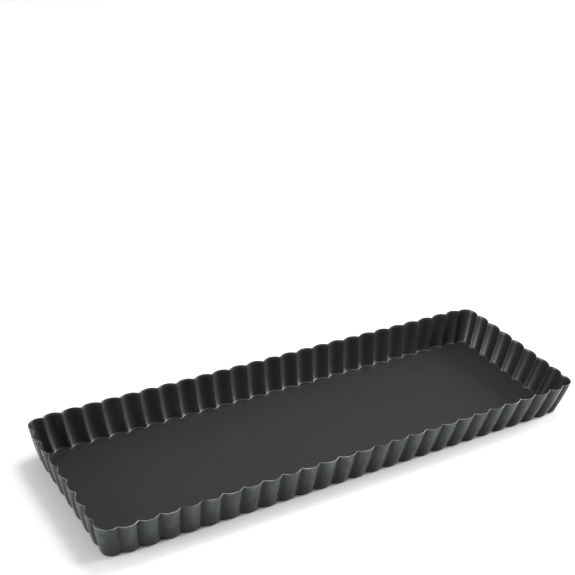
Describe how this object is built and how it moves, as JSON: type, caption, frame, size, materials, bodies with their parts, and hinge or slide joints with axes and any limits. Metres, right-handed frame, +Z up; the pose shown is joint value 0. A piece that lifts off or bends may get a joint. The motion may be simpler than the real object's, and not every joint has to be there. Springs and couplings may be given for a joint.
{
  "type": "rectangular fluted tart pan",
  "caption": "Long shallow rectangular baking pan with fluted, outward-leaning walls and a flat loose bottom that pushes up out of its flanged frame.",
  "frame": {"origin": "middle of the footprint, at the height of the table the pan stands on", "axes": "+X along the pan's length, +Y across its width, +Z up out of the pan"},
  "size_m": [0.356, 0.12, 0.025],
  "materials": {
    "frame_coating": "satin dark grey non-stick coating on pressed sheet steel, bright along the cut rim",
    "bottom_coating": "matte dark grey non-stick coating on flat sheet steel"
  },
  "bodies": {
    "frame": {"fluted_frame": "frame_coating"},
    "bottom": {"loose_bottom": "bottom_coating"}
  },
  "joints": [
    {"name": "bottom_lift", "type": "slide", "parent": "frame", "child": "bottom", "axis": [0, 0, 1], "range_m": [0, 0.05]}
  ]
}
